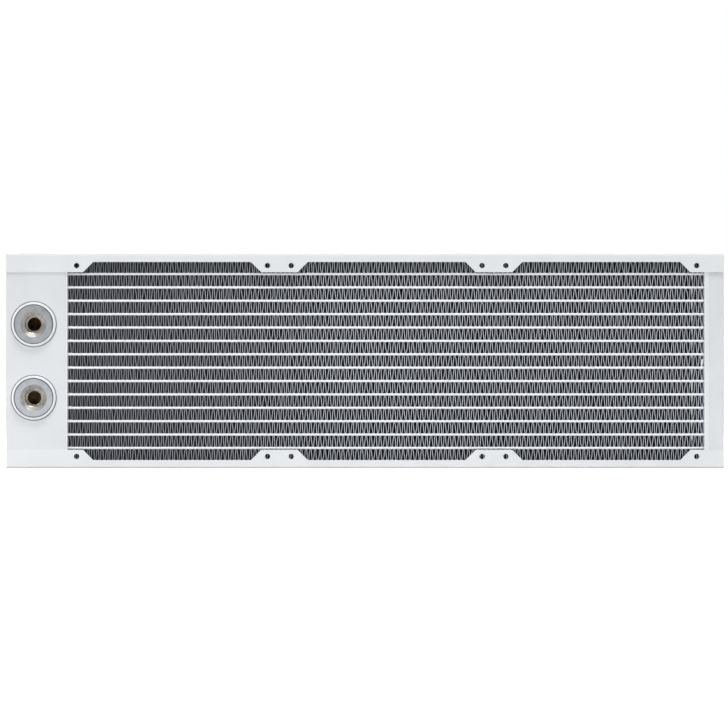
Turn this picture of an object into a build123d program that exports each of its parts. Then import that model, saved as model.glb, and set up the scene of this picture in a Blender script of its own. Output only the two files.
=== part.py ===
from build123d import *
import os
from math import hypot

# Liquid cooling radiator for three fans side by side, in millimetres.
# X runs along the radiator from the port tank to the return tank, the front face with the ports
# looks towards -Y, and +Z is up. The origin is the middle of the lower rail's outer face, halfway
# between the front and back fan faces. Brazed and soldered pieces touch face to face.

# Fans that the radiator carries, front and back
fan_count = 3
fan_size = 140.0                # side of one fan's frame, and the radiator's height
fan_hole_inset = 7.75           # edge of the fan to its screw holes, both ways
fan_hole_diameter = 3.5

# Side rails: channels of folded sheet
depth = 30.0                    # over the front and back flanges
port_tank_to_hole = 6.0         # end of the core to the first screw hole
return_tank_to_hole = 5.0
rail_sheet = 1.0
rail_fold = 0.4                 # inner radius of the fold
flange_wide = 12.1              # over the tanks and at the screw tabs
flange_narrow = 5.4             # along the fan windows
tab_reach = 4.1                 # screw hole's axis to the corner of its tab
tab_corner_radius = 0.6

# Tanks
port_tank_length = 40.0         # end of the radiator to the core, with the header plate
return_tank_length = 12.8
tank_sheet = 1.0
tank_corner = 2.5               # radius of the edges along X, which clears the rail's fold
tank_end_radius = 1.0
divider_sheet = 1.0

# Header plates: trays whose lip holds the tank shell
header_sheet = 1.2
port_lip_sheet = 0.8            # folded inside the port tank
port_lip_length = 4.0
return_lip_sheet = 0.5          # folded over the outside of the return tank
return_lip_length = 1.8

# Core
core_recess = 4.0               # fan face to the tubes' noses
core_margin = 5.2               # radiator's long edge to the outermost fins
tube_count = 14
tube_thickness = 1.5
tube_wall = 0.3
tube_into_tank = 2.0            # past the header plate
fin_sheet = 0.15
fin_period = 3.0                # aim for one full wave; the strip holds a whole number of them
fin_setback = 0.4               # tube nose to the fin's edge
fin_end_gap = 0.2               # header plate to the end of the strip
side_plate_sheet = 1.2

# Ports: G1/4 threads
port_from_end = 18.0            # end of the radiator to the port axes
port_spacing = 48.0
collar_wall = 2.05
collar_height = 3.0
collar_round = 1.6
insert_flange_diameter = 25.7
insert_flange_height = 2.6
insert_wall = 2.0               # around the thread
mouth_diameter = 17.0
mouth_depth = 1.9
thread_major_diameter = 13.157
thread_minor_diameter = 11.445  # bore that the thread is cut in
thread_length = 9.0
floor_sheet = 1.2
floor_hole_diameter = 8.6

# Clearances
insert_in_tank = 0.1            # radial, insert body in the tank's hole
insert_in_collar = 0.1          # radial, insert flange in the collar

# Places along X
fan_hole_spacing = fan_size - 2 * fan_hole_inset
port_end_to_hole = port_tank_length + port_tank_to_hole
return_end_to_hole = return_tank_length + return_tank_to_hole
length = port_end_to_hole + (fan_count - 1) * fan_size + fan_hole_spacing + return_end_to_hole
port_end_x = -length / 2
return_end_x = length / 2
port_core_x = port_end_x + port_tank_length
return_core_x = return_end_x - return_tank_length
core_length = return_core_x - port_core_x
core_middle_x = (port_core_x + return_core_x) / 2
port_x = port_end_x + port_from_end
first_hole_x = port_end_x + port_end_to_hole
hole_pairs_x = [
    (first_hole_x + fan * fan_size, first_hole_x + fan * fan_size + fan_hole_spacing)
    for fan in range(fan_count)
]

# Places along Y: both faces of the radiator are alike, and front faces are negative
inner_depth = depth - 2 * rail_sheet
tank_front_y = -inner_depth / 2
core_depth = depth - 2 * core_recess
fin_depth = core_depth - 2 * fin_setback

# Places along Z
middle_z = fan_size / 2
inner_height = fan_size - 2 * rail_sheet
core_height = fan_size - 2 * core_margin
tube_pitch = (core_height + tube_thickness) / (tube_count + 1)
fin_height = tube_pitch - tube_thickness
tubes_z = [middle_z + (tube - (tube_count - 1) / 2) * tube_pitch for tube in range(tube_count)]
fins_z = [middle_z + (fin - tube_count / 2) * tube_pitch for fin in range(tube_count + 1)]
ports_xz = [(port_x, middle_z + side * port_spacing / 2) for side in (1, -1)]

# Round parts of a port
insert_body_diameter = thread_major_diameter + 2 * insert_wall
collar_bore = insert_flange_diameter + 2 * insert_in_collar
collar_diameter = collar_bore + 2 * collar_wall


def shrunk(section, wall):
    """Depth, height and corner radius of a rounded section, one wall thickness further in."""
    section_depth, section_height, corner = section
    return section_depth - 2 * wall, section_height - 2 * wall, corner - wall


# Sections of the tanks, each a depth, a height and a corner radius
header_section = (inner_depth, inner_height, tank_corner)
port_shell_section = header_section
port_shell_inside = shrunk(port_shell_section, tank_sheet)
port_lip_inside = shrunk(port_shell_inside, port_lip_sheet)
return_shell_section = shrunk(header_section, return_lip_sheet)
return_shell_inside = shrunk(return_shell_section, tank_sheet)

os.makedirs("parts", exist_ok=True)


def save(piece, name):
    """Labels a finished piece and writes it as its own STEP file."""
    piece.label = name
    export_step(piece, f"parts/{name}.step", write_pcurves=False)


def across(x, direction=1):
    """Plane square to the radiator's length at x, centred on its section, looking along +X or -X."""
    return Plane(origin=(x, 0, middle_z), x_dir=(0, 1, 0), z_dir=(direction, 0, 0))


def rail_section(edge_z, side):
    """Channel section open towards the core, for a rail whose web lies at edge_z."""
    half = depth / 2
    inside = half - rail_sheet
    with BuildSketch(Plane(origin=(port_end_x, 0, edge_z), x_dir=(0, 1, 0), z_dir=(1, 0, 0))) as section:
        with BuildLine():
            FilletPolyline(
                (-half, -side * flange_wide),
                (-half, 0),
                (half, 0),
                (half, -side * flange_wide),
                radius=rail_fold + rail_sheet,
            )
            Line((half, -side * flange_wide), (inside, -side * flange_wide))
            FilletPolyline(
                (inside, -side * flange_wide),
                (inside, -side * rail_sheet),
                (-inside, -side * rail_sheet),
                (-inside, -side * flange_wide),
                radius=rail_fold,
            )
            Line((-inside, -side * flange_wide), (-half, -side * flange_wide))
        make_face()
    return section.sketch


def fan_windows(edge_z, side):
    """Outlines that cut a rail's flanges back between the screw tabs, with sloping tab sides."""
    cut = flange_wide - flange_narrow
    tab_z = edge_z - side * flange_wide
    with BuildSketch(Plane.XZ) as windows:
        for left_x, right_x in hole_pairs_x:
            with BuildLine():
                FilletPolyline(
                    (left_x, tab_z),
                    (left_x + tab_reach, tab_z),
                    (left_x + tab_reach + cut, tab_z + side * cut),
                    (right_x - tab_reach - cut, tab_z + side * cut),
                    (right_x - tab_reach, tab_z),
                    (right_x, tab_z),
                    radius=tab_corner_radius,
                )
                Polyline(
                    (right_x, tab_z),
                    (right_x, tab_z - side * cut),
                    (left_x, tab_z - side * cut),
                    (left_x, tab_z),
                )
            make_face()
    return windows.sketch


def side_rail(side):
    """Channel along one long edge: side is 1 for the upper rail and -1 for the lower one."""
    edge_z = middle_z + side * middle_z
    holes = [(x, edge_z - side * fan_hole_inset) for pair in hole_pairs_x for x in pair]
    with BuildPart() as rail:
        extrude(rail_section(edge_z, side), amount=length)
        extrude(fan_windows(edge_z, side), amount=depth, both=True, mode=Mode.SUBTRACT)
        with BuildSketch(Plane.XZ):
            with Locations(*holes):
                Circle(fan_hole_diameter / 2)
        extrude(amount=depth, both=True, mode=Mode.SUBTRACT)
    return rail.part


def tank_shell(end_x, direction, shell_length, outside, inside, openings=()):
    """Box open towards the core. Its closed end is at end_x, and direction points to the core."""
    with BuildPart() as tank:
        with BuildSketch(across(end_x, direction)):
            RectangleRounded(*outside)
        extrude(amount=shell_length)
        end_face = tank.faces().filter_by(Axis.X).sort_by(Axis.X)[0 if direction > 0 else -1]
        fillet(end_face.edges(), radius=tank_end_radius)
        with BuildSketch(across(end_x + direction * tank_sheet, direction)):
            RectangleRounded(*inside)
        extrude(amount=shell_length, mode=Mode.SUBTRACT)
        if openings:
            with BuildSketch(Plane.XZ):
                with Locations(*openings):
                    Circle(insert_body_diameter / 2 + insert_in_tank)
            extrude(amount=depth, mode=Mode.SUBTRACT)
    return tank.part


def header_plate(core_x, direction, lip_outside, lip_inside, lip_length):
    """Tube plate with its core face at core_x and its lip folded towards the tank, along direction."""
    with BuildPart() as plate:
        with BuildSketch(across(core_x, direction)):
            RectangleRounded(*header_section)
        extrude(amount=header_sheet)
        with BuildSketch(across(core_x + direction * header_sheet, direction)):
            RectangleRounded(*lip_outside)
            RectangleRounded(*lip_inside, mode=Mode.SUBTRACT)
        extrude(amount=lip_length)
        with BuildSketch(across(core_x, direction)):
            with Locations(*[(0, z - middle_z) for z in tubes_z]):
                SlotOverall(core_depth, tube_thickness)
        extrude(amount=header_sheet, mode=Mode.SUBTRACT)
    return plate.part


def tank_divider():
    """Wall between the two ports, notched where it passes inside the header plate's lip."""
    shell_x = port_end_x + tank_sheet
    lip_x = port_core_x - header_sheet - port_lip_length
    with BuildPart() as divider:
        with BuildSketch(Plane.XY.offset(middle_z)):
            with Locations(((shell_x + lip_x) / 2, 0)):
                Rectangle(lip_x - shell_x, port_shell_inside[0])
            with Locations((lip_x + port_lip_length / 2, 0)):
                Rectangle(port_lip_length, port_lip_inside[0])
        extrude(amount=divider_sheet / 2, both=True)
    return divider.part


def coolant_tube(tube_z):
    """Flat tube at height tube_z, open at both ends, through both header plates."""
    start_x = port_core_x - header_sheet - tube_into_tank
    tube_length = core_length + 2 * (header_sheet + tube_into_tank)
    section = Plane(origin=(start_x, 0, tube_z), x_dir=(0, 1, 0), z_dir=(1, 0, 0))
    with BuildPart() as tube:
        with BuildSketch(section):
            SlotOverall(core_depth, tube_thickness)
            SlotOverall(core_depth - 2 * tube_wall, tube_thickness - 2 * tube_wall, mode=Mode.SUBTRACT)
        extrude(amount=tube_length)
    return tube.part


def wave_outline(fin_z):
    """Corners of a fin strip's edge: its upper surface from the port end, then its lower one back.

    Each crown is flat where it is brazed, as wide as the sheet is along X, and sharp inside.
    """
    strip_length = core_length - 2 * fin_end_gap
    crowns = 2 * round(strip_length / fin_period)
    half_flat = fin_sheet / 2
    step = (strip_length - 2 * half_flat) / (crowns - 1)
    crown_sheet = fin_sheet / 2 * hypot(fin_height, step) / step
    first_x = core_middle_x - strip_length / 2 + half_flat
    upper = []
    lower = []
    for crown in range(crowns):
        x = first_x + crown * step
        rise = 1 if crown % 2 == 0 else -1
        outside = upper if rise == 1 else lower
        inside = lower if rise == 1 else upper
        outside.append((x - half_flat, fin_z + rise * fin_height / 2))
        outside.append((x + half_flat, fin_z + rise * fin_height / 2))
        inside.append((x, fin_z + rise * (fin_height / 2 - crown_sheet)))
    return upper + lower[::-1]


def fin_strip(fin_z):
    """Corrugated strip between two tubes, or between a tube and a side plate."""
    with BuildPart() as fin:
        with BuildSketch(Plane.XZ):
            with BuildLine():
                Polyline(*wave_outline(fin_z), close=True)
            make_face()
        extrude(amount=fin_depth / 2, both=True)
    return fin.part


def core_side_plate(side):
    """Flat plate brazed to the outermost fins, between the header plates."""
    fins_edge_z = middle_z + side * core_height / 2
    with BuildPart() as plate:
        with BuildSketch(Plane.XY.offset(fins_edge_z)):
            with Locations((core_middle_x, 0)):
                Rectangle(core_length, core_depth)
        extrude(amount=side * side_plate_sheet)
    return plate.part


def port_collar(x, z):
    """Ring around a port on the tank's front face, with a round shoulder."""
    with BuildPart() as collar:
        with BuildSketch(Plane(origin=(x, tank_front_y, z), x_dir=(1, 0, 0), z_dir=(0, -1, 0))):
            Circle(collar_diameter / 2)
            Circle(collar_bore / 2, mode=Mode.SUBTRACT)
        extrude(amount=collar_height)
        front_edges = collar.edges().filter_by(GeomType.CIRCLE).group_by(Axis.Y)[0]
        fillet(front_edges.sort_by(SortBy.RADIUS)[-1], radius=collar_round)
    return collar.part


def port_insert(x, z):
    """Threaded port: a flange on the tank face, a body inside the tank, and a floor with a hole."""
    face_y = -insert_flange_height
    thread_y = face_y + mouth_depth
    floor_y = thread_y + thread_length
    end_y = floor_y + floor_sheet
    with BuildPart() as insert:
        with BuildSketch(Plane(origin=(x, tank_front_y, z), x_dir=(1, 0, 0), z_dir=(0, 0, 1))):
            with BuildLine():
                Polyline(
                    (mouth_diameter / 2, face_y),
                    (insert_flange_diameter / 2, face_y),
                    (insert_flange_diameter / 2, 0),
                    (insert_body_diameter / 2, 0),
                    (insert_body_diameter / 2, end_y),
                    (floor_hole_diameter / 2, end_y),
                    (floor_hole_diameter / 2, floor_y),
                    (thread_minor_diameter / 2, floor_y),
                    (thread_minor_diameter / 2, thread_y),
                    close=True,
                )
            make_face()
        revolve(axis=Axis((x, tank_front_y, z), (0, 1, 0)))
    return insert.part


save(side_rail(1), "side_rail_upper")
save(side_rail(-1), "side_rail_lower")
save(core_side_plate(1), "core_side_plate_upper")
save(core_side_plate(-1), "core_side_plate_lower")

save(
    tank_shell(
        port_end_x,
        1,
        port_tank_length - header_sheet,
        port_shell_section,
        port_shell_inside,
        openings=ports_xz,
    ),
    "port_tank",
)
save(
    header_plate(port_core_x, -1, port_shell_inside, port_lip_inside, port_lip_length),
    "port_header_plate",
)
save(tank_divider(), "port_tank_divider")
save(
    tank_shell(
        return_end_x,
        -1,
        return_tank_length - header_sheet,
        return_shell_section,
        return_shell_inside,
    ),
    "return_tank",
)
save(
    header_plate(return_core_x, 1, header_section, return_shell_section, return_lip_length),
    "return_header_plate",
)

for place, (x, z) in zip(("upper", "lower"), ports_xz):
    save(port_collar(x, z), f"port_collar_{place}")
    save(port_insert(x, z), f"port_insert_{place}")

for number, tube_z in enumerate(tubes_z, start=1):
    save(coolant_tube(tube_z), f"tube_{number:02d}")

for number, fin_z in enumerate(fins_z, start=1):
    save(fin_strip(fin_z), f"fin_{number:02d}")
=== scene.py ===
import math
import bpy
import numpy as np
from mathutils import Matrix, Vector


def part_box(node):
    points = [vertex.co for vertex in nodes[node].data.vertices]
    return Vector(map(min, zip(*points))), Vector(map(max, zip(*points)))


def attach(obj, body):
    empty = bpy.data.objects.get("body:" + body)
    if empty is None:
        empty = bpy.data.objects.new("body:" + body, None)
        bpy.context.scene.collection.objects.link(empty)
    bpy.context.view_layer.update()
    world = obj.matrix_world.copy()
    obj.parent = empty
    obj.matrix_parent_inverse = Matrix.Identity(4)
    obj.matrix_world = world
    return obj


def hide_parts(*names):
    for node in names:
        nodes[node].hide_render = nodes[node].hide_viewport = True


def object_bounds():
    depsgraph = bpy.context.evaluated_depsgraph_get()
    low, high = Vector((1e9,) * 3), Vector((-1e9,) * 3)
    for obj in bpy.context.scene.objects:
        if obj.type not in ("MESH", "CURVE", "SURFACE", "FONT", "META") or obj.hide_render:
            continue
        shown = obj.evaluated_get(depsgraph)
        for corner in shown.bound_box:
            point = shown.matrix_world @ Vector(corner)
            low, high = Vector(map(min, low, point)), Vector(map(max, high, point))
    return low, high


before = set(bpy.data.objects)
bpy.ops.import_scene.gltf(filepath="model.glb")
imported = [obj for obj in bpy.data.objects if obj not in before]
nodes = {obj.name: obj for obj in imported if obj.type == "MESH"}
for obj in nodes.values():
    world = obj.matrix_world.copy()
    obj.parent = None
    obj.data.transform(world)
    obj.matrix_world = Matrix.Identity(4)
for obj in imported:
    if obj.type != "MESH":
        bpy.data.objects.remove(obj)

# Liquid cooling radiator, in metres in the CAD frame: X along the radiator, -Y the front, +Z up.

MM = 0.001
cad_low, cad_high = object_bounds()
cad_middle = [(low + high) / 2 for low, high in zip(cad_low, cad_high)]


# ---------------------------------------------------------------- materials

FIN_PAINT_TO_SHADE_DEPTH = 1.8 * MM      # how far in from the fins' front and back edges the white paint gives way to painted shade, a near-black colour for the dark channels
FIN_PAINT_AND_SHADE_RUN = 0.45           # share of the fins' length, from the ports, over which the paint thickens and the fins' painted shade lightens
FIN_PATCHY = 0.45               # how much of the fins' edge paint and painted shade comes and goes in patches
FIN_RAGGED = 0.3                # how much of it comes and goes in flecks
FIN_LINES = 7.2 * MM            # size of the wave texture, whose lines are then 2.3 mm apart


def new_material(name):
    """A node material and its Principled shader."""
    material = bpy.data.materials.new(name)
    material.use_nodes = True
    return material, material.node_tree.nodes["Principled BSDF"]


def add(material, kind, **values):
    """One shader node, with its settings and inputs given by name."""
    node = material.node_tree.nodes.new(kind)
    for key, value in values.items():
        if hasattr(node, key):
            setattr(node, key, value)
        else:
            node.inputs[key.capitalize()].default_value = value
    return node


def link(material, source, target):
    """Joins an output to an input."""
    material.node_tree.links.new(source, target)


def place(material):
    """The piece's own coordinates, in metres."""
    return add(material, "ShaderNodeTexCoord").outputs["Object"]


def noise(material, size, detail=2.0, stretch=(1, 1, 1)):
    """Noise whose features are about size metres, drawn out along any axis by stretch."""
    mapping = add(material, "ShaderNodeMapping")
    mapping.inputs["Scale"].default_value = [1 / s for s in stretch]
    link(material, place(material), mapping.inputs["Vector"])
    texture = add(material, "ShaderNodeTexNoise", scale=1 / size, detail=detail)
    link(material, mapping.outputs["Vector"], texture.inputs["Vector"])
    return texture.outputs["Fac"]


def progress(material, value, start, end):
    """0 to 1 as value goes from start to end."""
    node = add(material, "ShaderNodeMapRange")
    node.inputs["From Min"].default_value = start
    node.inputs["From Max"].default_value = end
    link(material, value, node.inputs["Value"])
    return node.outputs["Result"]


def plus(material, base, value, share):
    """The base, plus a share of value."""
    node = add(material, "ShaderNodeMath", operation="MULTIPLY_ADD")
    link(material, value, node.inputs[0])
    node.inputs[1].default_value = share
    link(material, base, node.inputs[2])
    return node.outputs[0]


def ramp(material, factor, stops):
    """A colour ramp through (position, grey or colour) stops."""
    node = add(material, "ShaderNodeValToRGB")
    elements = node.color_ramp.elements
    while len(elements) < len(stops):
        elements.new(0.5)
    for element, (position, colour) in zip(elements, stops):
        element.position = position
        element.color = (*colour, 1) if isinstance(colour, tuple) else (colour, colour, colour, 1)
    link(material, factor, node.inputs["Fac"])
    return node.outputs["Color"]


def long_ramp(material, factor, stops):
    """A ramp whose stops run past 1."""
    last = stops[-1][0]
    scaled = add(material, "ShaderNodeMath", operation="DIVIDE")
    link(material, factor, scaled.inputs[0])
    scaled.inputs[1].default_value = last
    return ramp(material, scaled.outputs[0], [(position / last, colour) for position, colour in stops])


def vary(material, shader, socket, factor, low, high, between=(0.3, 0.7)):
    """Takes one of the shader's inputs from low to high as the factor passes between two values."""
    start, end = between
    link(material, ramp(material, factor, [(start, low), (end, high)]), shader.inputs[socket])


def bump(material, shader, height, depth):
    """Relief of depth metres on the shader, over any relief it has already."""
    node = add(material, "ShaderNodeBump", strength=1.0, distance=depth)
    link(material, height, node.inputs["Height"])
    used = shader.inputs["Normal"].links
    if used:
        link(material, used[0].from_socket, node.inputs["Normal"])
    link(material, node.outputs["Normal"], shader.inputs["Normal"])


def grain(material, shader, size, depth, detail=2.0):
    """Noise of about size metres as relief."""
    bump(material, shader, noise(material, size, detail), depth)


def powder_coat(name, bright, dull):
    """Baked paint: orange peel, slow waves, and a faint cloudiness in its tone and gloss."""
    material, shader = new_material(name)
    cloud = noise(material, size=22 * MM, detail=4.0)
    vary(material, shader, "Base Color", cloud, dull, bright, between=(0.35, 0.65))
    haze = noise(material, size=2.5 * MM, detail=3.0)
    vary(material, shader, "Roughness", haze, 0.34, 0.46)
    grain(material, shader, size=0.7 * MM, depth=0.012 * MM, detail=1.5)
    grain(material, shader, size=6 * MM, depth=0.02 * MM, detail=1.0)
    shader.inputs["Coat Weight"].default_value = 0.15
    shader.inputs["Coat Roughness"].default_value = 0.25
    return material


def tube_paint():
    """Paint on the tubes' noses, lumpy where the fins' crowns are brazed on."""
    material, shader = new_material("tube_paint")
    lumps = noise(material, size=1.6 * MM, stretch=(1, 2, 2))
    dull, bright = (0.82, 0.83, 0.86), (0.95, 0.96, 0.98)
    vary(material, shader, "Base Color", lumps, dull, bright, between=(0.25, 0.6))
    shader.inputs["Roughness"].default_value = 0.42
    bump(material, shader, lumps, depth=0.12 * MM)
    grain(material, shader, size=0.5 * MM, depth=0.015 * MM)
    return material


def fin_paint_and_shade(low, high):
    """Sheet painted at its front and back edges, more thinly and with painted shade near the ports, and
    coloured near black in between as painted shade of the channels.
    """
    material, shader = new_material("fin_paint_and_shade")
    separate = add(material, "ShaderNodeSeparateXYZ")
    link(material, place(material), separate.inputs["Vector"])
    outwards = add(material, "ShaderNodeMath", operation="ABSOLUTE")
    link(material, separate.outputs["Y"], outwards.inputs[0])
    # Cover: 1 at the painted edges, falling to 0 deeper in, where the colour is painted shade
    edge_paint_over_shade = progress(material, outwards.outputs[0], high[1] - FIN_PAINT_TO_SHADE_DEPTH, high[1])
    patches = noise(material, size=14 * MM, detail=3.0, stretch=(1, 1, 2))
    edge_paint_over_shade = plus(material, edge_paint_over_shade, patches, FIN_PATCHY)
    flecks = noise(material, size=1.3 * MM, detail=3.0)
    edge_paint_over_shade = plus(material, edge_paint_over_shade, flecks, FIN_RAGGED)
    # Tones along the cover: the near-black first stop is painted shade deep in the channels; the lighter
    # stops are the edge paint
    port_end_tones = [(0.55, (0.032, 0.032, 0.037)), (1.0, (0.175, 0.178, 0.195)), (1.25, (0.46, 0.47, 0.51))]
    far_end_tones = [(0.55, (0.035, 0.037, 0.045)), (1.0, (0.23, 0.24, 0.265)), (1.25, (0.69, 0.71, 0.77))]
    # Darker tones towards the ports are painted shade for the duller look of that end under the light; the
    # beads there are also thinner
    far_tones_from_x = low[0] + FIN_PAINT_AND_SHADE_RUN * (high[0] - low[0])
    mix = add(material, "ShaderNodeMix", data_type="RGBA")
    link(material, progress(material, separate.outputs["X"], low[0], far_tones_from_x), mix.inputs["Factor"])
    link(material, long_ramp(material, edge_paint_over_shade, port_end_tones), mix.inputs["A"])
    link(material, long_ramp(material, edge_paint_over_shade, far_end_tones), mix.inputs["B"])
    link(material, mix.outputs["Result"], shader.inputs["Base Color"])
    shader.inputs["Roughness"].default_value = 0.5
    lines = add(material, "ShaderNodeTexWave", scale=1 / FIN_LINES, bands_direction="Y")
    link(material, place(material), lines.inputs["Vector"])
    bump(material, shader, lines.outputs["Fac"], depth=0.15 * MM)
    return material


def turned_nickel():
    """Bare nickel plate with smudges and a fine grain."""
    material, shader = new_material("turned_nickel")
    shader.inputs["Metallic"].default_value = 1.0
    smudge = noise(material, size=5 * MM, detail=4.0)
    vary(material, shader, "Base Color", smudge, (0.33, 0.35, 0.37), (0.43, 0.45, 0.475))
    vary(material, shader, "Roughness", smudge, 0.36, 0.5)
    grain(material, shader, size=0.35 * MM, depth=0.006 * MM)
    return material


def bare_brass(name, dark, bright, dull=0.62, smooth=0.48):
    """Brass with uneven stains, rougher where it is darker."""
    material, shader = new_material(name)
    shader.inputs["Metallic"].default_value = 1.0
    stain = noise(material, size=2.5 * MM, detail=4.0)
    vary(material, shader, "Base Color", stain, dark, bright)
    vary(material, shader, "Roughness", stain, dull, smooth)
    grain(material, shader, size=0.4 * MM, depth=0.02 * MM, detail=3.0)
    return material


# ---------------------------------------------------------------- meshes

def make_object(name, points, faces, materials, face_materials=None, smooth=True):
    """A mesh object from points and faces, with a material number for each face if given."""
    mesh = bpy.data.meshes.new(name)
    mesh.from_pydata([tuple(p) for p in points], [], [tuple(f) for f in faces])
    for material in materials:
        mesh.materials.append(material)
    if face_materials is not None:
        mesh.polygons.foreach_set("material_index", face_materials)
    mesh.polygons.foreach_set("use_smooth", [smooth] * len(mesh.polygons))
    mesh.update()
    piece = bpy.data.objects.new(name, mesh)
    bpy.context.scene.collection.objects.link(piece)
    return piece


def ring_faces(rings, count, closed=False):
    """Quads between rings of count points each; when closed, the last ring joins the first."""
    ring, point = np.meshgrid(np.arange(rings if closed else rings - 1), np.arange(count), indexing="ij")
    next_ring, next_point = (ring + 1) % rings, (point + 1) % count
    corners = [(ring, point), (ring, next_point), (next_ring, next_point), (next_ring, point)]
    return np.stack([r * count + p for r, p in corners], -1).reshape(-1, 4)


def capped_faces(rings, count):
    """Quads between rings, and a face over the first ring and the last."""
    first, last = range(count), range((rings - 1) * count, rings * count)
    return [*ring_faces(rings, count), first[::-1], last]


def take_place(piece, node):
    """The piece stands for a CAD node and rides with it."""
    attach(piece, "root")
    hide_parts(node)


# Sheet metal -----------------------------------------------------

RAIL_ROUNDING = 0.22 * MM       # width of a rounded edge on rails and tanks
HEADER_ROUNDING = 0.15 * MM
ROUNDING_STEPS = 3
SHARP_EDGE = math.radians(40)   # sharper edges are rounded
FLAT_FACES = math.radians(0.5)  # flatter neighbours are joined first
SAME_POINT = 0.002 * MM
FACE_WEIGHT = 100               # how far large faces keep their own shading at an edge
LINING_DEPTH = 0.6 * MM         # faces this far inside a node's box are its lining


def lining_faces(mesh, node):
    """1 for each face that lies deep inside the node's box along every axis, else 0."""
    low, high = (np.array(corner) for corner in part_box(node))
    centres = np.array([face.center for face in mesh.polygons])
    depth = np.minimum(centres - low, high - centres)
    return (depth > LINING_DEPTH).all(axis=1).astype(int)


def soften(node, material, width, lining=None):
    """A copy of a CAD node with its sharp edges rounded by width, as baked paint leaves them."""
    source = nodes[node]
    mesh = source.data.copy()
    mesh.transform(source.matrix_world)
    mesh.materials.clear()
    mesh.materials.append(material)
    if lining:
        mesh.materials.append(lining)
        mesh.polygons.foreach_set("material_index", lining_faces(mesh, node))
    mesh.polygons.foreach_set("use_smooth", [True] * len(mesh.polygons))
    piece = bpy.data.objects.new(node + "_painted", mesh)
    bpy.context.scene.collection.objects.link(piece)
    weld = piece.modifiers.new("weld", "WELD")
    weld.merge_threshold = SAME_POINT
    flat = piece.modifiers.new("flat", "DECIMATE")
    flat.decimate_type = "DISSOLVE"
    flat.angle_limit = FLAT_FACES
    flat.delimit = {"MATERIAL"}
    bevel = piece.modifiers.new("round", "BEVEL")
    bevel.width = width
    bevel.segments = ROUNDING_STEPS
    bevel.limit_method = "ANGLE"
    bevel.angle_limit = SHARP_EDGE
    bevel.miter_outer = "MITER_ARC"
    shade = piece.modifiers.new("shade", "WEIGHTED_NORMAL")
    shade.weight = FACE_WEIGHT
    take_place(piece, node)


def dress(names, material):
    """Gives CAD nodes a finished material."""
    for name in names:
        mesh = nodes[name].data
        mesh.materials.clear()
        mesh.materials.append(material)


# Fin strips ------------------------------------------------------

FIN_SEED = 11                   # of the first strip; each next strip has the next seed
FIN_STEP = 1.51 * MM            # crown to crown
FIN_SHEET = 0.15 * MM
FIN_END = 0.2 * MM              # end of the CAD strip to the first and last legs
FIN_LEG_GAP = 0.2 * MM          # line of the crowns to the free ends of the first and last legs
FIN_BEADS = (0.12 * MM, 0.17 * MM)      # half the width of the painted edge, by the ports and beyond
# The edge's rounded section, as shares of that half width and distances behind the very edge
FIN_NOSE = ((0.0, 0.0), (0.72, 0.07 * MM), (1.0, 0.22 * MM), (0.8, 0.42 * MM))
FIN_NOSE_END = 0.9 * MM         # where the thicker edge has run out into bare sheet
FIN_CROWN_RADII = (0.58 * MM, 0.44 * MM)        # by the ports and beyond
FIN_CROWN_SPREAD = (0.75, 1.25)         # share of its radius that a crown gets, at random
FIN_CROWN_ANGLES = np.radians([-82, -55, -20, 20, 55, 82])
FIN_WANDER = 0.10 * MM          # unevenness of single crowns along X
FIN_SLOW_WANDER = 0.26 * MM     # unevenness of their running mean
FIN_SLOW_CROWNS = 9             # crowns in the running mean
FIN_SETTLED = 4                 # crowns over which all this dies out towards either end
FIN_BOW = (0.09 * MM, 0.8 * MM)         # unevenness of a leg half way up, in X and Z
FIN_LEAN = 3.1 * MM             # how far a leg leans along X by mid-depth, and back again behind it
FIN_TURN = (11 * MM, 3 * MM)    # distances from the far end between which the lean changes direction
FIN_BEND = 0.8 * MM             # from the bend at mid-depth to the stations beside it


def paint_share(x, low, high):
    """0 where the paint is thinnest, by the ports, to 1 where it is thick."""
    return np.clip((x - low[0]) / (high[0] - low[0]) / FIN_PAINT_AND_SHADE_RUN, 0, 1)


def crown_places(first, last, random):
    """X of every crown, evenly spaced but for a little wander."""
    count = 2 * round((last - first) / (2 * FIN_STEP))
    order = np.arange(count)
    wander = random.normal(0, 1, count)
    drifting = np.convolve(wander, np.ones(FIN_SLOW_CROWNS) / FIN_SLOW_CROWNS, "same")
    settled = np.minimum(1, np.minimum(order, order[::-1]) / FIN_SETTLED)
    even = first + (order + 0.5) * (last - first) / count
    return even + (FIN_WANDER * wander + FIN_SLOW_WANDER * drifting) * settled


def wave_path(low, high, random):
    """Centre line of one strip in X and Z: crowns that touch the tubes, with uneven legs between."""
    first, last = low[0] + FIN_END, high[0] - FIN_END
    top, bottom = high[2] - FIN_SHEET / 2, low[2] + FIN_SHEET / 2
    middle = (top + bottom) / 2
    crowns = crown_places(first, last, random)
    points = [(first, bottom + FIN_LEG_GAP), (first, middle)]
    for number, x in enumerate(crowns):
        rise, tip = (1, top) if number % 2 == 0 else (-1, bottom)
        radius = np.interp(paint_share(x, low, high), (0, 1), FIN_CROWN_RADII)
        radius *= random.uniform(*FIN_CROWN_SPREAD)
        for angle in FIN_CROWN_ANGLES:
            drop = radius * (1 - math.cos(angle))
            points.append((x + radius * math.sin(angle), tip - rise * drop))
        if number + 1 < len(crowns):
            half_way = (x + crowns[number + 1]) / 2
            points.append((half_way + random.normal(0, FIN_BOW[0]), middle + random.normal(0, FIN_BOW[1])))
    points += [(last, middle), (last, top - FIN_LEG_GAP)]
    return np.array(points)


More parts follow.
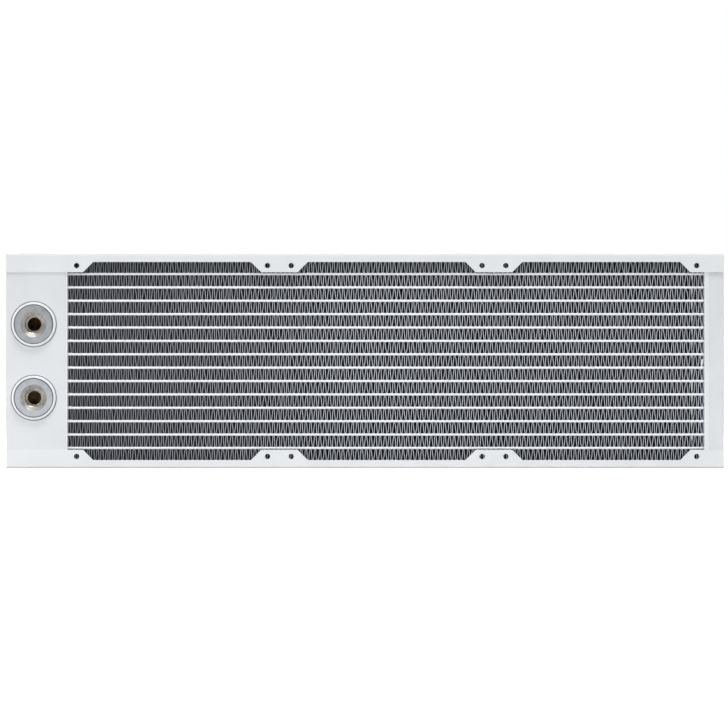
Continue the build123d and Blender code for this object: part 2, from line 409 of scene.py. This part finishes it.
def sheet_ring(low, high):
    """Once round the sheet's edge: shares of the bead and of the sheet's half width, and Y."""
    middle = (low[1] + high[1]) / 2
    front, back = low[1] + FIN_NOSE_END, high[1] - FIN_NOSE_END
    ring = [(bead, 0, low[1] + depth) for bead, depth in FIN_NOSE]
    ring += [(0, 1, y) for y in (front, middle - FIN_BEND, middle, middle + FIN_BEND, back)]
    ring += [(bead, 0, high[1] - depth) for bead, depth in FIN_NOSE[::-1]]
    ring += [(-bead, -sheet, y) for bead, sheet, y in ring[-2:0:-1]]
    return np.array(ring)


def strip_points(path, ring, low, high):
    """The ring of points round the sheet at every point of the path."""
    tangent = np.gradient(path, axis=0)
    tangent /= np.linalg.norm(tangent, axis=1)[:, None]
    normal = np.stack([-tangent[:, 1], tangent[:, 0]], 1)
    bead = np.interp(paint_share(path[:, 0], low, high), (0, 1), FIN_BEADS)
    offset = bead[:, None] * ring[None, :, 0] + FIN_SHEET / 2 * ring[None, :, 1]
    inwards = 1 - np.abs(2 * ring[:, 2] - low[1] - high[1]) / (high[1] - low[1])
    turn = [high[0] - distance for distance in FIN_TURN]
    lean = FIN_LEAN * np.interp(path[:, 0], turn, (1, -1))
    x = path[:, None, 0] + offset * normal[:, None, 0] + lean[:, None] * inwards[None, :]
    z = path[:, None, 1] + offset * normal[:, None, 1]
    y = np.broadcast_to(ring[None, :, 2], x.shape)
    points = np.stack([np.clip(x, low[0], high[0]), y, np.clip(z, low[2], high[2])], -1)
    return points.reshape(-1, 3)


def fin_strip(node, material, seed):
    """Folded strip from header plate to header plate, its legs bent once at mid-depth."""
    low, high = (np.array(corner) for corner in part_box(node))
    path = wave_path(low, high, np.random.default_rng(seed))
    ring = sheet_ring(low, high)
    points = strip_points(path, ring, low, high)
    piece = make_object(node + "_strip", points, capped_faces(len(path), len(ring)), [material])
    take_place(piece, node)


# Ports -----------------------------------------------------------

TURN_POINTS = 96                # points round a port
THREAD_PITCH = 1.337 * MM
THREAD_MINOR = 11.445 / 2 * MM  # radius
THREAD_DEPTH = 0.856 * MM
THREAD_FLAT = 0.08              # share of the pitch that is flat at the crest, and again at the root
THREAD_START = 1.9 * MM         # depth of the mouth's cone
THREAD_RUNOUT = 1.2 * MM        # depth over which the thread fades out above the floor
THREAD_STATIONS = 120
INSERT_MOUTH = 8.5 * MM         # radius
INSERT_HOLE = 4.3 * MM          # radius
INSERT_BODY = 8.58 * MM         # radius
INSERT_FLANGE = 2.6 * MM        # thickness
INSERT_FLOOR = 1.2 * MM         # thickness
INSERT_FACE_STATIONS = 14
# The flange's rounded rim, as distances inwards and behind the face
INSERT_RIM = ((0.0, 1.2 * MM), (0.15 * MM, 0.5 * MM), (0.4 * MM, 0.1 * MM), (0.6 * MM, 0.0))
COLLAR_WALL = 2.05 * MM
COLLAR_SEAM = 0.6 * MM          # width
COLLAR_SHOULDER = 1.2 * MM      # radius of its rounding
COLLAR_SHOULDER_STATIONS = 9


def port_box(node):
    """Middle of a port piece's front, its outer radius and its length, from the CAD box."""
    low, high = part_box(node)
    front = ((low[0] + high[0]) / 2, low[1], (low[2] + high[2]) / 2)
    return front, (high[0] - low[0]) / 2, high[1] - low[1]


def revolved(name, profile, front, materials):
    """Closed surface of (radius, y, material number) stations; a radius may depend on angle and y."""
    angle = np.arange(TURN_POINTS) / TURN_POINTS * math.tau
    rings = []
    for radius, y, _ in profile:
        r = radius(angle, y) if callable(radius) else np.full(TURN_POINTS, radius)
        x, z = front[0] + r * np.cos(angle), front[2] + r * np.sin(angle)
        rings.append(np.stack([x, np.full(TURN_POINTS, front[1] + y), z], -1))
    faces = ring_faces(len(profile), TURN_POINTS, closed=True)
    used = np.repeat([station[2] for station in profile], TURN_POINTS)
    return make_object(name, np.concatenate(rings), faces, materials, used)


def thread(floor):
    """Radius of a right-hand thread cut through the mouth's cone and down to the floor."""
    def radius(angle, y):
        phase = (y - THREAD_START) / THREAD_PITCH + angle / math.tau
        flank = np.abs(2 * (phase % 1) - 1)
        wave = np.clip((flank - THREAD_FLAT) / (1 - 2 * THREAD_FLAT), 0, 1)
        fade = np.clip((floor - y) / THREAD_RUNOUT, 0, 1)
        cone = THREAD_MINOR + (INSERT_MOUTH - THREAD_MINOR) * max(0.0, 1 - y / THREAD_START)
        return np.maximum(THREAD_MINOR + THREAD_DEPTH * wave * fade, cone)
    return radius


def port_insert(node, nickel, brass, cut_brass):
    """Flange with a conical mouth, a cut G1/4 thread and a brass floor with the coolant hole."""
    front, flange, end = port_box(node)
    floor = end - INSERT_FLOOR
    face, bore, cut = range(3)
    threaded = thread(floor)
    profile = [(flange, INSERT_FLANGE, face)]
    profile += [(flange - inwards, y, face) for inwards, y in INSERT_RIM]
    flat = np.linspace(flange - 0.8 * MM, INSERT_MOUTH + 0.5 * MM, INSERT_FACE_STATIONS)
    profile += [(radius, 0.0, face) for radius in flat]
    profile += [(INSERT_MOUTH + 0.2 * MM, 0.0, face), (INSERT_MOUTH, 0.08 * MM, face)]
    profile += [(INSERT_MOUTH - 0.12 * MM, 0.25 * MM, bore)]
    depths = np.linspace(0.35 * MM, floor - 0.1 * MM, THREAD_STATIONS)
    profile += [(threaded, y, bore if y < THREAD_START else cut) for y in depths]
    profile += [(THREAD_MINOR, floor - 0.02 * MM, bore), (THREAD_MINOR - 0.1 * MM, floor, bore)]
    profile += [(INSERT_HOLE + 0.25 * MM, floor, bore), (INSERT_HOLE, floor + 0.2 * MM, bore)]
    profile += [(INSERT_HOLE, end - 0.1 * MM, bore), (INSERT_HOLE + 0.1 * MM, end, bore)]
    profile += [(INSERT_BODY - 0.2 * MM, end, bore), (INSERT_BODY, end - 0.2 * MM, bore)]
    profile += [(INSERT_BODY, INSERT_FLANGE, face)]
    piece = revolved(node + "_threaded", profile, front, [nickel, brass, cut_brass])
    take_place(piece, node)


def port_collar(node, white, groove_shade):
    """Ring with a round shoulder, standing in a narrow groove on the tank whose floor is coloured dark
    grey as painted shade of the crevice, with some dirt.
    """
    front, outer, tall = port_box(node)
    inner, wall = outer - COLLAR_WALL, outer - COLLAR_SEAM
    paint, shaded_groove = range(2)
    # The groove's floor takes the dark grey painted shade
    profile = [(outer, tall, shaded_groove), (outer, tall - 0.08 * MM, shaded_groove)]
    profile += [(wall + 0.1 * MM, tall - 0.1 * MM, paint), (wall, tall - 0.3 * MM, paint)]
    for angle in np.linspace(0, math.pi / 2, COLLAR_SHOULDER_STATIONS):
        inwards, depth = COLLAR_SHOULDER * (1 - math.cos(angle)), COLLAR_SHOULDER * (1 - math.sin(angle))
        profile.append((wall - inwards, depth, paint))
    profile += [(inner + 0.2 * MM, 0.0, paint), (inner + 0.05 * MM, 0.06 * MM, paint)]
    profile += [(inner, 0.25 * MM, paint), (inner, tall, paint)]
    piece = revolved(node + "_ring", profile, front, [white, groove_shade])
    take_place(piece, node)


# Run of paint ----------------------------------------------------

DRIP_SEED = 5
DRIP_STATIONS = 14
DRIP_POINTS = 16                # round each station
DRIP_RADIUS = 0.8 * MM
DRIP_TAPER = (1.25, 0.55)       # shares of the radius at the top and at the end
DRIP_TIP = 0.04                 # share of a half wave that is cut off at either end
DRIP_BLUNT = 0.6                # power of the half wave; below 1 makes the ends blunt
DRIP_UNEVEN = 0.06
DRIP_DEPTH = 0.3 * MM           # behind the fins' front edge
DRIP_TOP = (1.0 * MM, 1.2 * MM)         # before the header plate, and above the middle of the strip
DRIP_END = (1.9 * MM, 0.2 * MM)         # before the header plate, and below the strip


def paint_drip(header, fin, material):
    """Lump of paint that runs down the last legs of a strip onto the tube below."""
    random = np.random.default_rng(DRIP_SEED)
    header_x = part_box(header)[0][0]
    low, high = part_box(fin)
    y = low[1] + DRIP_DEPTH
    top = np.array((header_x - DRIP_TOP[0], y, (low[2] + high[2]) / 2 + DRIP_TOP[1]))
    end = np.array((header_x - DRIP_END[0], y, low[2] - DRIP_END[1]))
    points = []
    for share in np.linspace(0, 1, DRIP_STATIONS):
        centre = top + share * (end - top)
        half_wave = math.sin(math.pi * (DRIP_TIP + (1 - 2 * DRIP_TIP) * share))
        radius = DRIP_RADIUS * half_wave ** DRIP_BLUNT * np.interp(share, (0, 1), DRIP_TAPER)
        for angle in np.arange(DRIP_POINTS) / DRIP_POINTS * math.tau:
            reach = radius * (1 + DRIP_UNEVEN * random.normal())
            points.append(centre + np.array((math.cos(angle), math.sin(angle), 0)) * reach)
    piece = make_object("paint_drip", points, capped_faces(DRIP_STATIONS, DRIP_POINTS), [material])
    round_off = piece.modifiers.new("round", "SUBSURF")
    round_off.levels = round_off.render_levels = 1
    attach(piece, "root")


# ---------------------------------------------------------------- the radiator

rail_white = powder_coat("rail_powder_coat", (0.80, 0.81, 0.82), (0.77, 0.785, 0.79))
tank_white = powder_coat("tank_powder_coat", (0.745, 0.755, 0.77), (0.715, 0.73, 0.74))
bright_white = powder_coat("bright_powder_coat", (0.87, 0.88, 0.89), (0.84, 0.85, 0.86))
nickel = turned_nickel()
brass = bare_brass("bare_brass", (0.42, 0.39, 0.345), (0.60, 0.57, 0.525))
cut_brass = bare_brass("cut_brass", (0.66, 0.62, 0.56), (0.90, 0.87, 0.82), dull=0.26, smooth=0.18)
inside_brass = bare_brass("inside_brass", (0.10, 0.055, 0.03), (0.20, 0.12, 0.07))
# Dark grey for the groove at the foot of each collar: painted shade of the crevice, with some dirt
groove_painted_shade = powder_coat("collar_groove_painted_shade", (0.16, 0.17, 0.20), (0.10, 0.11, 0.13))

for name in ("side_rail_upper", "side_rail_lower"):
    soften(name, rail_white, RAIL_ROUNDING)
for name in ("port_tank", "return_tank"):
    soften(name, tank_white, RAIL_ROUNDING, lining=inside_brass)
for name in ("port_header_plate", "return_header_plate"):
    soften(name, rail_white, HEADER_ROUNDING)
dress(["core_side_plate_upper", "core_side_plate_lower"], bright_white)
dress(["port_tank_divider"], inside_brass)
tubes = sorted(name for name in nodes if name.startswith("tube_"))
fins = sorted(name for name in nodes if name.startswith("fin_"))
dress(tubes, tube_paint())

# Fin material: white edge paint, with painted shade deeper in and towards the ports
fin_coat_and_shade = fin_paint_and_shade(*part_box(fins[0]))
for seed, name in enumerate(fins, start=FIN_SEED):
    fin_strip(name, fin_coat_and_shade, seed)
paint_drip("return_header_plate", fins[len(fins) // 2], bright_white)

for end_name in ("upper", "lower"):
    port_insert(f"port_insert_{end_name}", nickel, brass, cut_brass)
    port_collar(f"port_collar_{end_name}", bright_white, groove_painted_shade)


# ---------------------------------------------------------------- studio

FLOOR_HALF = 20.0               # half the floor's width
FLOOR_GREY = 0.66
FLOOR_GLOW = 0.8                # strength, for the camera only
ROOM_TINT = (0.94, 0.97, 1.0, 1)
ROOM_LIGHT = 0.37               # strength of the surroundings as a lamp
LENS = 300.0                    # millimetres, as Blender has it
SENSOR = 36.0                   # millimetres
FRAME_WIDTH = 474.6 * MM        # seen at the radiator's foremost point
AIM = (-0.68 * MM, -1.95 * MM)  # from the radiator's middle, in X and Z
CLIP = (0.01, 60.0)


def camera_only(tree, seen, lit):
    """One shader for what the camera sees and another for the light that the object gets."""
    path = tree.nodes.new("ShaderNodeLightPath")
    mix = tree.nodes.new("ShaderNodeMixShader")
    tree.links.new(path.outputs["Is Camera Ray"], mix.inputs["Fac"])
    tree.links.new(lit, mix.inputs[1])
    tree.links.new(seen, mix.inputs[2])
    return mix.outputs["Shader"]


def pale_floor():
    """White floor that glows a little for the camera, so that it meets the backdrop without an edge."""
    material, shader = new_material("pale_floor")
    shader.inputs["Base Color"].default_value = (FLOOR_GREY, FLOOR_GREY, FLOOR_GREY, 1)
    shader.inputs["Roughness"].default_value = 0.8
    glow = add(material, "ShaderNodeEmission", strength=FLOOR_GLOW)
    both = add(material, "ShaderNodeAddShader")
    link(material, shader.outputs["BSDF"], both.inputs[0])
    link(material, glow.outputs["Emission"], both.inputs[1])
    tree = material.node_tree
    surface = camera_only(tree, both.outputs["Shader"], shader.outputs["BSDF"])
    link(material, surface, tree.nodes["Material Output"].inputs["Surface"])
    signs = [(-1, -1), (1, -1), (1, 1), (-1, 1)]
    corners = [(x * FLOOR_HALF, y * FLOOR_HALF, 0) for x, y in signs]
    floor = make_object("floor", corners, [(0, 1, 2, 3)], [material], smooth=False)
    floor.location.z = cad_low[2]


def white_room():
    """Even pale surroundings, dimmer as a lamp than as a backdrop."""
    world = bpy.data.worlds.new("studio")
    world.use_nodes = True
    bpy.context.scene.world = world
    tree = world.node_tree
    light = tree.nodes["Background"]
    light.inputs["Color"].default_value = ROOM_TINT
    light.inputs["Strength"].default_value = ROOM_LIGHT
    backdrop = tree.nodes.new("ShaderNodeBackground")
    backdrop.inputs["Color"].default_value = (1, 1, 1, 1)
    surface = camera_only(tree, backdrop.outputs["Background"], light.outputs["Background"])
    tree.links.new(surface, tree.nodes["World Output"].inputs["Surface"])


def softbox(name, location, target, size, watts):
    """Rectangular lamp turned towards its target."""
    data = bpy.data.lights.new(name, "AREA")
    data.shape = "RECTANGLE"
    data.size, data.size_y = size
    data.energy = watts
    lamp = bpy.data.objects.new(name, data)
    lamp.location = location
    aim = np.array(target) - np.array(location)
    lamp.rotation_euler = Vector(aim).to_track_quat("-Z", "Y").to_euler()
    bpy.context.scene.collection.objects.link(lamp)
    return lamp


def camera():
    """Square to the front face and far away."""
    data = bpy.data.cameras.new("camera")
    data.lens = LENS
    data.sensor_width = SENSOR
    data.clip_start, data.clip_end = CLIP
    away = FRAME_WIDTH * LENS / SENSOR
    eye = bpy.data.objects.new("camera", data)
    eye.location = (cad_middle[0] + AIM[0], cad_low[1] - away, cad_middle[2] + AIM[1])
    eye.rotation_euler = (math.pi / 2, 0, 0)
    bpy.context.scene.collection.objects.link(eye)
    bpy.context.scene.camera = eye


pale_floor()
white_room()
softbox("key", (0.1, -0.8, 1.75), cad_middle, size=(1.0, 0.6), watts=15.6)
softbox("fill", (-0.7, -1.9, 0.9), cad_middle, size=(1.2, 0.6), watts=6.2)
softbox("back_key", (-0.3, 1.7, 1.0), cad_middle, size=(1.4, 0.8), watts=21.0)
softbox("left_side", (-1.8, 0.35, 0.4), cad_middle, size=(0.8, 0.6), watts=6.5)
softbox("right_side", (1.8, 0.35, 0.4), cad_middle, size=(0.8, 0.6), watts=6.5)
bounce = softbox("bounce", (-0.05, -0.25, 0.02), (-0.05, 0, 0.02), size=(0.9, 0.03), watts=0.33)
bounce.visible_camera = False
camera()
bpy.context.scene.view_settings.view_transform = "Standard"
